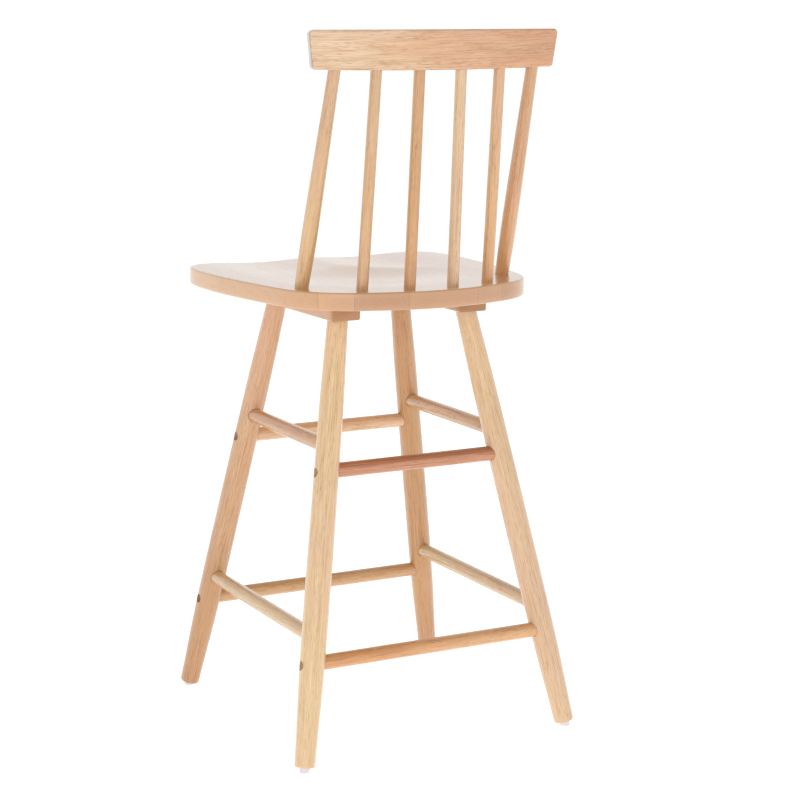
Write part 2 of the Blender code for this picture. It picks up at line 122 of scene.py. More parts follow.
# Left half of the outline, front centre to rear centre: cubic curves, four points each
SEAT_OUTLINE = (
    ((0.0, -0.2215), (0.0700, -0.2215), (0.1342, -0.2253), (0.1726, -0.2141)),
    ((0.1726, -0.2141), (0.2097, -0.2033), (0.2112, -0.1643), (0.2112, -0.1088)),
    ((0.2112, -0.1088), (0.2112, -0.0500), (0.2016, 0.0151), (0.1900, 0.0841)),
    ((0.1900, 0.0841), (0.1843, 0.1181), (0.1722, 0.1710), (0.1046, 0.1944)),
    ((0.1046, 0.1944), (0.0708, 0.2060), (0.0374, 0.2157), (0.0, 0.2157)),
)

RAIL_BOTTOM = 0.9385
RAIL_HEIGHT = 0.0530
RAIL_BELLY = 0.0020
RAIL_THICKNESS = 0.0220
RAIL_BOW_R = 0.700
RAIL_MID_Y = 0.2097
RAIL_LEAN = radians(6.0)
RAIL_HALF_BOTTOM = 0.1777
RAIL_HALF_TOP = 0.1828
RAIL_ROUND = 0.0030
RAIL_TOP_CORNER = 0.0075  # rounding of the upper corners, seen from behind
RAIL_LOW_CORNER = 0.0040

POST_FOOT = (0.1565, 0.1045)
POST_HEAD = (0.1484, 0.1950)
SPINDLE_FEET = ((0.0332, 0.1850), (0.0965, 0.1685))
SPINDLE_HEADS = ((0.0311, 0.2096), (0.0924, 0.2047))
SEAT_SOCKET_DEPTH = 0.0140
HEAD_IN_RAIL = 0.0060
POST_PROFILE = (
    (-0.05, 0.0096),
    (0.0, 0.0096),
    (0.14, 0.0106),
    (0.32, 0.0108),
    (0.60, 0.0099),
    (0.85, 0.0088),
    (1.1, 0.0081),
)
SPINDLE_PROFILE = ((-0.05, 0.0081), (0.50, 0.0080), (1.1, 0.0078))

GLIDE_R = 0.0068
GLIDE_HEIGHT = 0.0140  # before its foot is cut level with the floor
GLIDE_ROUND = 0.0006
GLIDE_RECESS_R = 0.0044
GLIDE_RECESS_DEPTH = 0.0016
NAIL_HEAD_R = 0.0040
NAIL_HEAD_HEIGHT = 0.0010
NAIL_R = 0.0012
NAIL_LENGTH = 0.0150

SIDES = {"left": 1, "right": -1}
ENDS = {"front": -1, "rear": 1}

# ---------------------------------------------------------------- camera and light

CAMERA_PLACE = (1.3180, 2.6477, 1.0142)
CAMERA_YAW = radians(27.2811)  # from +Y towards +X
CAMERA_PITCH = radians(10.6013)
CAMERA_ROLL = radians(-0.0453)
CAMERA_LENS = 93.394
SENSOR = 36.0

# The studio is white up to a low height and darker overhead, over a lit white table
WORLD_STRENGTH = 1.06
OVERHEAD_SHARE = 0.46
WHITE_UP_TO = 0.14  # sine of the height above the horizon
DARK_FROM = 0.90
TABLE_R = 4.0
TABLE_GLOW = 0.65
LAMP_PLACE = (1.9, 2.7, 1.2)
LAMP_AIM = (0.0, 0.0, 0.5)
LAMP_SIZE = (2.2, 1.8)
LAMP_WATTS = 7.0
LAMP_COLOUR = (1.0, 0.99, 0.97)


# ---------------------------------------------------------------- geometry helpers


def along(start, direction):
    """A matrix with its origin at start and its Z along direction."""
    turn = Vector(direction).to_track_quat("Z", "Y").to_matrix().to_4x4()
    return Matrix.Translation(Vector(start)) @ turn


def ease(value):
    """A smooth step from 0 to 1."""
    value = min(1.0, max(0.0, value))
    return value * value * (3 - 2 * value)


def smooth_curve(points, at):
    """The height at a place of the smooth curve through (place, height) points."""
    last = len(points) - 1
    i = max(0, min(last - 1, sum(place <= at for place, _ in points) - 1))
    (x0, y0), (x1, y1) = points[i], points[i + 1]

    def slope(k):
        before, after = points[max(0, k - 1)], points[min(last, k + 1)]
        return (after[1] - before[1]) / (after[0] - before[0])

    t = min(1.0, max(0.0, (at - x0) / (x1 - x0)))
    a, b = slope(i) * (x1 - x0), slope(i + 1) * (x1 - x0)
    t2, t3 = t * t, t * t * t
    return (2 * t3 - 3 * t2 + 1) * y0 + (t3 - 2 * t2 + t) * a + (3 * t2 - 2 * t3) * y1 + (t3 - t2) * b


def corner(radius, steps):
    """(how far in from the side, how far in from the end) round a quarter circle."""
    turns = [pi / 2 * i / steps for i in range(steps + 1)]
    return [(radius * (1 - cos(a)), radius * (1 - sin(a))) for a in turns]


def mesh_of(name, shape, smooth=35.0):
    """The bmesh as a smooth-shaded mesh, sharp where faces meet at more than this angle."""
    mesh = bpy.data.meshes.new(name)
    bmesh.ops.recalc_face_normals(shape, faces=shape.faces)
    shape.to_mesh(mesh)
    shape.free()
    mesh.polygons.foreach_set("use_smooth", [True] * len(mesh.polygons))
    mesh.set_sharp_from_angle(angle=radians(smooth))
    return mesh


def lofted(name, rings, smooth=35.0):
    """A closed skin through rings of points that all have the same count."""
    shape = bmesh.new()
    loops = [[shape.verts.new(point) for point in ring] for ring in rings]
    count = len(rings[0])
    for lower, upper in zip(loops, loops[1:]):
        for i in range(count):
            j = (i + 1) % count
            shape.faces.new((lower[i], lower[j], upper[j], upper[i]))
    shape.faces.new(reversed(loops[0]))
    shape.faces.new(loops[-1])
    return mesh_of(name, shape, smooth)


def turned(name, profile, segments, smooth=35.0):
    """A solid turned on Z from (radius, height) points, bottom to top."""
    turns = [2 * pi * i / segments for i in range(segments)]
    rings = [[(radius * cos(a), radius * sin(a), height) for a in turns] for radius, height in profile]
    return lofted(name, rings, smooth)


def cut(mesh, cutters, smooth=35.0):
    """The mesh with each (mesh, matrix) cutter removed, in the mesh's own space."""
    body = bpy.data.objects.new(mesh.name + "_blank", mesh)
    bpy.context.scene.collection.objects.link(body)
    tools = []
    for shape, matrix in cutters:
        tool = bpy.data.objects.new(shape.name, shape)
        bpy.context.scene.collection.objects.link(tool)
        tool.matrix_world = matrix
        step = body.modifiers.new(shape.name, "BOOLEAN")
        step.operation, step.solver, step.object = "DIFFERENCE", "EXACT", tool
        tools.append(tool)
    graph = bpy.context.evaluated_depsgraph_get()
    made = bpy.data.meshes.new_from_object(body.evaluated_get(graph))
    made.name = mesh.name
    for spare in [body] + tools:
        bpy.data.objects.remove(spare, do_unlink=True)
    made.polygons.foreach_set("use_smooth", [True] * len(made.polygons))
    made.set_sharp_from_angle(angle=radians(smooth))
    return made


def set_attribute(mesh, name, kind, values):
    made = mesh.attributes.new(name, kind, "POINT")
    key = "vector" if kind == "FLOAT_VECTOR" else "value"
    made.data.foreach_set(key, values)


def heart_of(seed):
    """Where in the tree a piece was cut, and how far its fibres lean off its axis."""
    return (
        (0.052 * cos(2.4 * seed), 0.052 * sin(2.4 * seed)),
        (0.016 * cos(1.3 * seed), 0.016 * sin(1.9 * seed)),
    )


def set_grain(mesh, seed, places=None, heart=None):
    """Writes the grain coordinates, and "run", the share of the length from end to end.

    places holds (across, across, along) of each vertex, and is its position if not given.
    """
    places = places or [tuple(vertex.co) for vertex in mesh.vertices]
    (x, y), (lean_x, lean_y) = heart or heart_of(seed)
    values = []
    for a, b, c in places:
        values += [a + x + lean_x * c, b + y + lean_y * c, c + 1.7 * seed]
    set_attribute(mesh, "grain", "FLOAT_VECTOR", values)
    low, high = min(p[2] for p in places), max(p[2] for p in places)
    set_attribute(mesh, "run", "FLOAT", [(p[2] - low) / (high - low) for p in places])


def add_piece(mesh, nodes, material, matrix=None):
    """Shows the mesh in place of these CAD nodes, its vertices moved by the matrix."""
    if matrix is not None:
        mesh.transform(matrix)
    obj = bpy.data.objects.new(mesh.name, mesh)
    bpy.context.scene.collection.objects.link(obj)
    mesh.materials.clear()
    mesh.materials.append(material)
    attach(obj, "root")
    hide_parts(*nodes)
    return obj


# ---------------------------------------------------------------- materials


class Tree:
    """Builds a node tree: each call adds a node and returns its output socket."""

    def __init__(self, name):
        self.material = bpy.data.materials.new(name)
        self.material.use_nodes = True
        self.nodes = self.material.node_tree.nodes
        self.links = self.material.node_tree.links
        self.shader = self.nodes["Principled BSDF"]

    def feed(self, socket, value):
        if isinstance(value, bpy.types.NodeSocket):
            self.links.new(value, socket)
        else:
            socket.default_value = value

    def add(self, kind, inputs, output=0, **settings):
        made = self.nodes.new(kind)
        for key, value in settings.items():
            setattr(made, key, value)
        for key, value in inputs.items():
            self.feed(made.inputs[key], value)
        return made.outputs[output]

    def math(self, operation, a, b=0.0, c=0.0):
        return self.add("ShaderNodeMath", {0: a, 1: b, 2: c}, operation=operation)

    def vector(self, operation, a, b=(0.0, 0.0, 0.0), output="Vector"):
        return self.add("ShaderNodeVectorMath", {0: a, 1: b}, output, operation=operation)

    def noise(self, where, stretch, detail=3.0, roughness=0.55, output="Fac"):
        spot = self.vector("MULTIPLY", where, stretch)
        inputs = {"Vector": spot, "Scale": 1.0, "Detail": detail, "Roughness": roughness}
        return self.add("ShaderNodeTexNoise", inputs, output)

    def spread(self, value, low, high, to_low=0.0, to_high=1.0):
        inputs = {"Value": value, "From Min": low, "From Max": high, "To Min": to_low, "To Max": to_high}
        return self.add("ShaderNodeMapRange", inputs, interpolation_type="SMOOTHSTEP")

    def blend(self, share, a, b, how="MIX"):
        made = self.nodes.new("ShaderNodeMix")
        made.data_type, made.blend_type = "RGBA", how
        for key, value in ((0, share), (6, a), (7, b)):
            self.feed(made.inputs[key], value)
        return made.outputs[2]

    def tinted(self, share, colour, tint):
        """The colour, multiplied by the tint to this share."""
        return self.blend(share, colour, self.blend(1.0, colour, tint, "MULTIPLY"))

    def ramp(self, value, stops):
        made = self.nodes.new("ShaderNodeValToRGB")
        points = made.color_ramp.elements
        while len(points) < len(stops):
            points.new(0.5)
        for point, (place, colour) in zip(points, stops):
            point.position, point.color = place, colour
        self.feed(made.inputs[0], value)
        return made.outputs[0]

    def finish(self, colour, roughness, normal=None, **settings):
        self.feed(self.shader.inputs["Base Color"], colour)
        self.feed(self.shader.inputs["Roughness"], roughness)
        if normal is not None:
            self.feed(self.shader.inputs["Normal"], normal)
        for key, value in settings.items():
            self.shader.inputs[key.replace("_", " ")].default_value = value
        return self.material


def rgb(red, green, blue):
    """An sRGB colour of 0 to 255 as linear RGBA."""

    def linear(value):
        value /= 255
        return value / 12.92 if value <= 0.04045 else ((value + 0.055) / 1.055) ** 2.4

    return (linear(red), linear(green), linear(blue), 1.0)


def shade(colour, by):
    return tuple(value * by for value in colour[:3]) + (1.0,)


def shade_over(colour, tone):
    """The linear colour that gives this sRGB colour once it is multiplied by the tone."""
    return tuple(value / by for value, by in zip(rgb(*colour), tone)) + (1.0,)


def opaque(stops):
    """Ramp stops with full alpha, from (place, grey) or (place, colour) pairs."""
    return [(place, (*(tone if isinstance(tone, tuple) else (tone,) * 3), 1.0)) for place, tone in stops]


# The wood's colours, linear: the tone runs from pale to dark wood, the rest multiply it
RING_TONES = ((0.0, 0.0), (0.55, 0.35), (0.90, 1.0), (1.0, 0.0))
MID_TONE = (0.86, 0.80, 0.72)
WOOD_TONES = ((0.0, (1.0, 1.0, 1.0)), (0.5, MID_TONE), (1.0, (0.60, 0.44, 0.30)))
DRIFT_TINTS = ((0.36, (1.0, 0.99, 0.90)), (0.64, (1.0, 0.945, 0.955)))
PORE_TINT = (0.46, 0.31, 0.23, 1.0)
STREAK_TINT = (0.82, 0.66, 0.53, 1.0)
GLUE_TINT = (0.62, 0.48, 0.36, 1.0)
# Cycles a metre of each part of the grain: across, across, along
WANDER_SCALE = (9.0, 9.0, 2.4)
STREAK_SCALE = (760.0, 760.0, 16.0)
FIBRE_SCALE = (1800.0, 1800.0, 38.0)
CLOUD_SCALE = (26.0, 26.0, 4.0)
DRIFT_SCALE = (16.0, 16.0, 3.4)
PORE_SCALE = (1000.0, 1000.0, 58.0)
PATCH_SCALE = (170.0, 170.0, 7.0)
WANDER_REACH = 0.014  # how far the fibres stray from straight
STAVE_SHIFT = (0.031, 0.0, 2.9)  # between the grain of neighbouring staves
GLUE_LINE = 0.00035  # half the width of a glue line
LACQUER_ROUGHNESS = 0.17


def split_in_staves(tree, grain, staves):
    """(grain, tone, glue) of a glued panel: each stave has its own grain and tone."""
    shift = tone = glue = 0.0
    spot = tree.add("ShaderNodeTexCoord", {}, "Object")
    across = tree.add("ShaderNodeSeparateXYZ", {0: spot}, "X")
    for place, step in staves:
        beyond = tree.math("GREATER_THAN", across, place)
        shift = tree.math("ADD", shift, beyond)
        tone = tree.math("MULTIPLY_ADD", beyond, step, tone)
        glue = tree.math("ADD", glue, tree.math("COMPARE", across, place, GLUE_LINE))
    offset = tree.add("ShaderNodeCombineXYZ", {0: shift, 1: 0.0, 2: shift})
    return tree.vector("ADD", grain, tree.vector("MULTIPLY", offset, STAVE_SHIFT)), tone, glue


def stray(tree, grain):
    """The grain coordinates, wandering a little as real fibres do."""
    wander = tree.noise(grain, WANDER_SCALE, 2.0, 0.5, "Color")
    wander = tree.vector("SUBTRACT", wander, (0.5, 0.5, 0.5))
    sway = tree.vector("MULTIPLY", wander, (WANDER_REACH, WANDER_REACH, 0.0))
    return tree.vector("ADD", grain, sway)


def pore_lines(tree, fibres):
    """Short dark lines along the grain, gathered in patches."""
    cells = tree.vector("MULTIPLY", fibres, PORE_SCALE)
    pore = tree.add("ShaderNodeTexVoronoi", {"Vector": cells, "Scale": 1.0}, "Distance")
    patch = tree.spread(tree.noise(fibres, PATCH_SCALE, 2.0), 0.40, 0.60, 0.2, 1.0)
    return tree.math("MULTIPLY", tree.spread(pore, 0.36, 0.14), patch)


def wood(
    name,
    near,
    far=None,
    contrast=0.8,
    pores=0.6,
    rings=0.12,
    ring_gap=0.0034,
    heartwood=None,
    end_grain=None,
    end_face_tint=(0.80, 0.71, 0.65),
    staves=(),
    gloss=1.62,
):
    """Clear-lacquered light wood of this sRGB colour, or of one colour at each end.

    contrast scales the streaks along the grain, rings the growth rings, and pores is how
    dark the short pore lines are. heartwood holds the radius of the heartwood and how much
    deeper its tone is. end_grain is the direction of the fibres, given to a piece whose end
    grain shows, and the end face tint after it tints that end grain; on the crest rail its
    grey-blue is also a painted reflection of a darker part of the studio. staves holds (x of
    a glue line, tone past it) for each, x rising. gloss is the refractive index of the lacquer.
    """
    tree = Tree(name)
    grain = tree.add("ShaderNodeAttribute", {}, "Vector", attribute_name="grain")
    tone = glue = 0.0
    if staves:
        grain, tone, glue = split_in_staves(tree, grain, staves)
    fibres = stray(tree, grain)
    reach = tree.vector("LENGTH", tree.vector("MULTIPLY", fibres, (1.0, 1.0, 0.0)), output="Value")
    ring = tree.ramp(tree.math("FRACT", tree.math("DIVIDE", reach, ring_gap)), opaque(RING_TONES))
    streak = tree.noise(fibres, STREAK_SCALE, 3.0, 0.6)
    fibre = tree.noise(fibres, FIBRE_SCALE, 3.0, 0.6)
    cloud = tree.noise(grain, CLOUD_SCALE, 3.0, 0.55)
    pore = pore_lines(tree, fibres)

    # The tone stays about one half, whatever the weights are
    weights = ((streak, 1.7 * contrast), (fibre, 0.9 * contrast), (cloud, 0.8 * contrast), (ring, rings))
    tone = tree.math("ADD", tone, 0.5 - 0.5 * sum(weight for _, weight in weights[:3]) - 0.45 * rings)
    for source, weight in weights:
        tone = tree.math("MULTIPLY_ADD", source, weight, tone)
    if heartwood:
        radius, depth = heartwood
        inside = tree.spread(reach, radius - 0.0015, radius + 0.0015, depth, 0.0)
        tone = tree.math("ADD", tone, inside)

    body = shade_over(near, MID_TONE)
    if far is not None:
        run = tree.add("ShaderNodeAttribute", {}, "Fac", attribute_name="run")
        wave = tree.math("MULTIPLY_ADD", tree.math("SUBTRACT", cloud, 0.5), 1.2, run)
        body = tree.blend(tree.spread(wave, 0.08, 0.92), body, shade_over(far, MID_TONE))
    colour = tree.blend(1.0, body, tree.ramp(tone, opaque(WOOD_TONES)), "MULTIPLY")
    drift = tree.ramp(tree.noise(grain, DRIFT_SCALE, 2.0), opaque(DRIFT_TINTS))
    colour = tree.blend(1.0, colour, drift, "MULTIPLY")
    vein = tree.math("MULTIPLY", tree.spread(streak, 0.58, 0.72), 0.55 * contrast)
    colour = tree.tinted(vein, colour, STREAK_TINT)
    colour = tree.tinted(tree.math("MULTIPLY", pore, pores), colour, PORE_TINT)
    if end_grain:
        # End faces take the end tint: darker end grain, and on the crest rail also a painted grey-blue
        # reflection.
        normal = tree.add("ShaderNodeNewGeometry", {}, "Normal")
        facing = tree.math("ABSOLUTE", tree.vector("DOT_PRODUCT", normal, end_grain, "Value"))
        colour = tree.tinted(tree.spread(facing, 0.55, 0.95), colour, (*end_face_tint, 1.0))
    if staves:
        colour = tree.tinted(tree.math("MULTIPLY", glue, 0.7), colour, GLUE_TINT)
    # Rounded edges and foot ends are lightened towards the near colour: partly lacquer worn through,
    # partly a painted highlight on the roundings.
    wear_and_highlight = tree.add("ShaderNodeAttribute", {}, "Fac", attribute_name="wear_and_highlight")
    worn_and_highlit = tree.math("MULTIPLY", wear_and_highlight, tree.spread(streak, 0.40, 0.60, 0.08, 0.30))
    colour = tree.blend(worn_and_highlit, colour, shade(rgb(*near), 1.10))

    roughness = tree.spread(tree.math("MULTIPLY_ADD", pore, 0.5, fibre), 0.35, 1.0, 0.34, 0.54)
    height = tree.math("MULTIPLY_ADD", pore, -0.9, tree.math("MULTIPLY", fibre, 0.35))
    height = tree.math("MULTIPLY_ADD", streak, 0.5, height)
    normal = tree.add("ShaderNodeBump", {"Strength": 0.30, "Distance": 0.0005, "Height": height})
    lacquer = {"Coat_Weight": 1.0, "Coat_Roughness": LACQUER_ROUGHNESS, "Coat_IOR": gloss}
    return tree.finish(colour, roughness, normal, **lacquer)


def metal(name, colour, roughness, scratch_scale):
    """Plated metal with fine turned marks and slight staining."""
    tree = Tree(name)
    place = tree.add("ShaderNodeTexCoord", {}, "Object")
    marks = tree.noise(place, (scratch_scale, scratch_scale, scratch_scale * 6), 3.0)
    stain = tree.noise(place, (320.0, 320.0, 320.0), 3.0)
    tint = tree.ramp(stain, ((0.3, shade(colour, 0.72)), (0.7, colour)))
    rough = tree.spread(marks, 0.3, 0.7, roughness * 0.75, roughness * 1.35)
    normal = tree.add("ShaderNodeBump", {"Strength": 0.15, "Distance": 0.0001, "Height": marks})
    return tree.finish(tint, rough, normal, Metallic=1.0)


def moulded_plastic(name, colour):
    """Pale polythene with a fine moulded surface and scuffs from the floor."""
    tree = Tree(name)
    place = tree.add("ShaderNodeTexCoord", {}, "Object")
    grit = tree.noise(place, (2600.0, 2600.0, 2600.0), 3.0)
    scuff = tree.spread(tree.noise(place, (420.0, 420.0, 160.0), 4.0), 0.52, 0.72)
    tint = tree.blend(tree.math("MULTIPLY", scuff, 0.35), colour, shade(colour, 0.72))
    rough = tree.spread(grit, 0.3, 0.7, 0.42, 0.60)
    normal = tree.add("ShaderNodeBump", {"Strength": 0.2, "Distance": 0.0001, "Height": grit})
    return tree.finish(tint, rough, normal)


# ---------------------------------------------------------------- the looks of each piece

STEEL_COLOUR = (0.74, 0.74, 0.76, 1.0)
BRASS_COLOUR = (0.62, 0.45, 0.18, 1.0)
GLIDE_COLOUR = (226, 222, 236)

# node: the place and lean of the heart, where it is not left to the seed
HEARTS = {
    "seat": ((0.0, -0.150), (0.006, 0.012)),
    "crest_rail": ((-0.115, 0.020), (0.004, 0.016)),
    "stretcher_upper_rear": ((0.004, -0.050), (0.0, 0.010)),
}
ALONG_X = (1.0, 0.0, 0.0)
ALONG_Y = (0.0, 1.0, 0.0)
STRETCHER = {"contrast": 1.0, "pores": 0.9}
# node: its material slot, the seed of its grain and what wood() is given
LOOKS = {
    "leg_rear_left": {"slot": "wood_pale", "seed": 1, "near": (225, 190, 144)},
    "leg_rear_right": {"slot": "wood_pale", "seed": 2, "near": (219, 184, 143)},
    "leg_front_left": {"slot": "wood_tan", "seed": 3, "near": (192, 142, 92), "far": (215, 172, 131)},
    "leg_front_right": {"slot": "wood_tan", "seed": 4, "near": (193, 144, 91)},
    "stretcher_upper_front": {"slot": "wood_tan", "seed": 5, "near": (225, 186, 147), **STRETCHER},
    "stretcher_upper_rear": {
        "slot": "wood_red",
        "seed": 6,
        "near": (193, 127, 86),
        "contrast": 1.3,
        "rings": 0.3,
        "heartwood": (0.048, 0.45),
    },
    "stretcher_upper_left": {"slot": "wood_pale", "seed": 7, "near": (196, 142, 83), **STRETCHER},
    "stretcher_upper_right": {"slot": "wood_pale", "seed": 8, "near": (201, 161, 113), **STRETCHER},
    "stretcher_lower_front": {"slot": "wood_tan", "seed": 9, "near": (200, 155, 101), **STRETCHER},
    "stretcher_lower_rear": {
        "slot": "wood_tan",
        "seed": 10,
        "near": (216, 165, 110),
        "far": (213, 151, 86),
        **STRETCHER,
    },
    "stretcher_lower_left": {"slot": "wood_pale", "seed": 11, "near": (207, 170, 119), **STRETCHER},
    "stretcher_lower_right": {"slot": "wood_pale", "seed": 12, "near": (207, 174, 129), **STRETCHER},
    "batten_left": {"slot": "wood_tan", "seed": 13, "near": (193, 140, 77), "end_grain": ALONG_Y},
    "batten_right": {"slot": "wood_tan", "seed": 14, "near": (180, 125, 54), "end_grain": ALONG_Y},
    "post_left": {"slot": "wood_tan", "seed": 15, "near": (213, 174, 122), "far": (205, 163, 124)},
    "spindle_1": {"slot": "wood_tan", "seed": 16, "near": (207, 162, 114), "far": (207, 170, 126)},
    "spindle_2": {"slot": "wood_tan", "seed": 17, "near": (205, 153, 94), "far": (204, 156, 104)},
    "spindle_3": {"slot": "wood_tan", "seed": 18, "near": (217, 184, 142)},
    "spindle_4": {"slot": "wood_tan", "seed": 19, "near": (218, 167, 112), "far": (214, 172, 126)},
    "post_right": {"slot": "wood_tan", "seed": 20, "near": (220, 168, 120), "far": (205, 158, 112)},
    "seat": {
        "slot": "wood_pale",
        "seed": 21,
        "near": (205, 153, 99),
        "contrast": 0.45,
        "pores": 0.2,
        "rings": 0.09,
        "ring_gap": 0.0062,
        "end_grain": ALONG_Y,
        "staves": (
            (-0.160, 0.04),
            (-0.105, -0.24),
            (-0.060, -0.04),
            (0.047, 0.20),
            (0.118, -0.36),
            (0.158, 0.34),
        ),
        "gloss": 1.95,
    },
    "crest_rail": {
        "slot": "wood_pale",
        "seed": 22,
        "near": (207, 150, 108),
        "far": (223, 195, 160),
        "contrast": 1.35,
        "pores": 1.0,
        "end_grain": ALONG_X,
        # Grey-blue end faces: darker end grain, and a painted reflection of a darker part of the studio.
        "end_face_tint": (0.58, 0.62, 0.74),
    },
}


def add_wood(mesh, node, matrix=None):
    """Shows the mesh in place of this node, in the wood that LOOKS gives it."""
    finish = {key: value for key, value in LOOKS[node].items() if key not in ("slot", "seed")}
    add_piece(mesh, [node], wood(node + "_wood", **finish), matrix)


# ---------------------------------------------------------------- legs and their joints


def leg_axis(side, end, height):
    """The point of a leg's axis at this height."""
    share = height / LEG_TOP_Z
    x = LEG_FLOOR[0] + (LEG_TOP[0] - LEG_FLOOR[0]) * share
    y = LEG_FLOOR[1] + (LEG_TOP[1] - LEG_FLOOR[1]) * share
    return Vector((side * x, LEG_CENTRE_Y + end * y, height))


def leg_frame(side, end):
    """The matrix of a leg: origin at the foot's centre, Z up the axis."""
    foot = leg_axis(side, end, LEG_FOOT_Z)
    return along(foot, leg_axis(side, end, LEG_END_Z) - foot)


def leg_length():
    return (leg_axis(1, 1, LEG_END_Z) - leg_axis(1, 1, LEG_FOOT_Z)).length


def leg_blank(name):
    """A whole leg with its eased foot, before anything is cut from it."""
    length = leg_length()
    foot_r = LEG_PROFILE[0][1] - SANDED
    rise = LEG_PROFILE[0][0] * length
    profile = [(foot_r - FOOT_CHAMFER - 0.004, 0.0)]
    profile += [(foot_r - FOOT_CHAMFER * (1 - i / 3) ** 1.6, rise * i / 3) for i in range(3)]
    for i in range(LEG_STEPS + 1):
        share = LEG_PROFILE[0][0] + (1 - LEG_PROFILE[0][0]) * i / LEG_STEPS
        profile.append((smooth_curve(LEG_PROFILE, share) - SANDED, share * length))
    return turned(name, profile, 64)


def bolted_joint(name):
    """What a bolted stretcher takes out of a leg. Z points out of the stool."""
    socket_r = STRETCHER_R + GAP
    profile = (
        (socket_r, -CUTTER_REACH),
        (socket_r, -STRETCHER_STOP),
        (BOLT_HOLE_R, -STRETCHER_STOP),
        (BOLT_HOLE_R, COUNTERBORE_STOP),
        (COUNTERBORE_R, COUNTERBORE_STOP),
        (COUNTERBORE_R, CUTTER_REACH),
    )
    return turned(name, profile, 48)


def socket(name, radius, low, high, segments=48):
    """A cylinder on Z that cuts a round hole."""
    return turned(name, ((radius, low), (radius, high)), segments)


def leg_cutters(side, end, back):
    """Cutters of one leg, in the leg's own space."""
    made = []
    for height in (UPPER_CROSS_Z, LOWER_CROSS_Z):
        matrix = along(leg_axis(side, end, height), (side, 0, 0))
        made.append((bolted_joint("bolted"), back @ matrix))
    for height in (UPPER_SIDE_Z, LOWER_SIDE_Z):
        matrix = along(leg_axis(side, end, height), (0, end, 0))
        hole = socket("glued", STRETCHER_R + GAP, -CUTTER_REACH, -STRETCHER_STOP)
        made.append((hole, back @ matrix))
    return made


def build_legs():
    for side_name, side in SIDES.items():
        for end_name, end in ENDS.items():
            label = "leg_" + end_name + "_" + side_name
            matrix = leg_frame(side, end)
            mesh = cut(leg_blank(label), leg_cutters(side, end, matrix.inverted()))
            mesh.name = label + "_wood"
            set_grain(mesh, LOOKS[label]["seed"])
            # The foot end is lightened in the shader: wear, and a painted highlight on its rounding.
            wear_and_highlight = [ease(1.0 - vertex.co.z / 0.006) for vertex in mesh.vertices]
            set_attribute(mesh, "wear_and_highlight", "FLOAT", wear_and_highlight)
            add_wood(mesh, label, matrix)


def rod_profile(half, radius, steps=40):
    """A dowel with eased ends."""
    eased, straight = radius - STRETCHER_EASE, half - STRETCHER_EASE
    return (
        [(eased - END_LIP, -half), (eased, -half), (radius, -straight)]
        + [(radius, -straight + straight * 2 * i / steps) for i in range(1, steps)]
        + [(radius, straight), (eased, half), (eased - END_LIP, half)]
    )


def build_stretchers():
    for level, cross_z, side_z in (
        ("upper", UPPER_CROSS_Z, UPPER_SIDE_Z),
        ("lower", LOWER_CROSS_Z, LOWER_SIDE_Z),
    ):
        for end_name, end in ENDS.items():
            axis = leg_axis(1, end, cross_z)
            middle = along((0, axis.y, axis.z), (1, 0, 0))
            add_rod("stretcher_" + level + "_" + end_name, axis.x - STRETCHER_STOP - GAP, middle)
        for side_name, side in SIDES.items():
            axis = leg_axis(side, 1, side_z)
            middle = along((axis.x, LEG_CENTRE_Y, side_z), (0, 1, 0))
            half = axis.y - LEG_CENTRE_Y - STRETCHER_STOP - GAP
            add_rod("stretcher_" + level + "_" + side_name, half, middle)


def add_rod(label, half, matrix):
    mesh = turned(label + "_wood", rod_profile(half, STRETCHER_R), 48)
    set_grain(mesh, LOOKS[label]["seed"], None, HEARTS.get(label))
    add_wood(mesh, label, matrix)


# ---------------------------------------------------------------- battens


def batten_ring(y, inset, centre_x):
    """A section of a batten, drawn in by inset towards its ends."""
    half = BATTEN_WIDTH / 2 - inset
    low, high = BATTEN_BOTTOM + inset, BATTEN_TOP - inset * 0.4
    r = BATTEN_ROUND
    ring = []
    for i in range(6):
        a = pi / 2 * i / 5
        ring.append((centre_x + half - r + r * sin(a), y, low + r - r * cos(a)))
    chamfer = BATTEN_CHAMFER
    ring += [(centre_x + half, y, high - chamfer), (centre_x + half - chamfer, y, high)]
    ring += [(centre_x - half + chamfer, y, high), (centre_x - half, y, high - chamfer)]
    for i in range(6):
        a = pi / 2 * (5 - i) / 5
        ring.append((centre_x - half + r - r * sin(a), y, low + r - r * cos(a)))
    return ring


